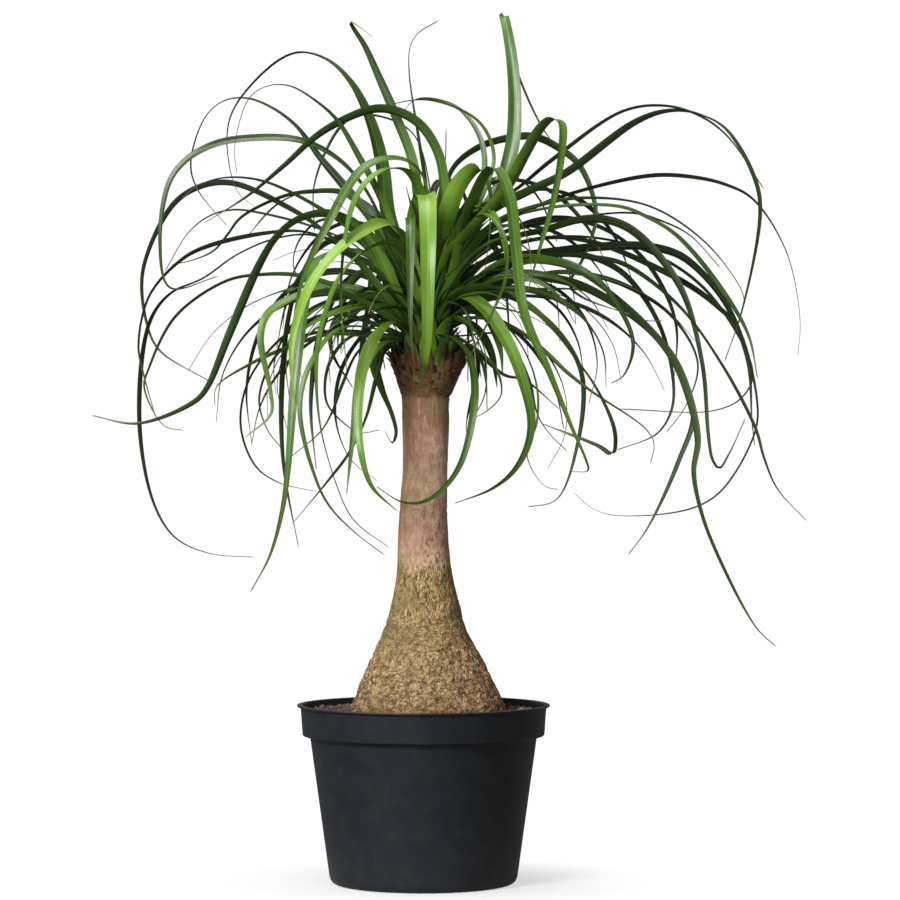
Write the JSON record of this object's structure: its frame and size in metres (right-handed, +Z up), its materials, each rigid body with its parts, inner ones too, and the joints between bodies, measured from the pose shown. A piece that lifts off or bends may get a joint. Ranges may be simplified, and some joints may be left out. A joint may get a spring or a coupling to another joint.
{
  "type": "potted ponytail palm",
  "caption": "Indoor palm with a swollen bark-covered trunk and a head of long arching ribbon leaves, standing in soil in a round tapered nursery pot.",
  "frame": {"origin": "centre of the pot's flat underside, on the surface the pot stands on", "axes": "+Z up along the trunk, +X to the viewer's right and +Y away from the viewer of the front"},
  "size_m": [0.5292, 0.4393, 0.6597],
  "materials": {
    "pot": "satin moulded dark slate plastic",
    "soil": "dry crumbly potting mix, modelled as peat and bark",
    "trunk": "corky bark at the foot, smooth pinkish brown above",
    "leaf": "satin green leaf, modelled as plant matter"
  },
  "bodies": {
    "root": {"pot": "pot", "soil": "soil", "trunk": "trunk", "leaf_head": "leaf"}
  },
  "joints": []
}
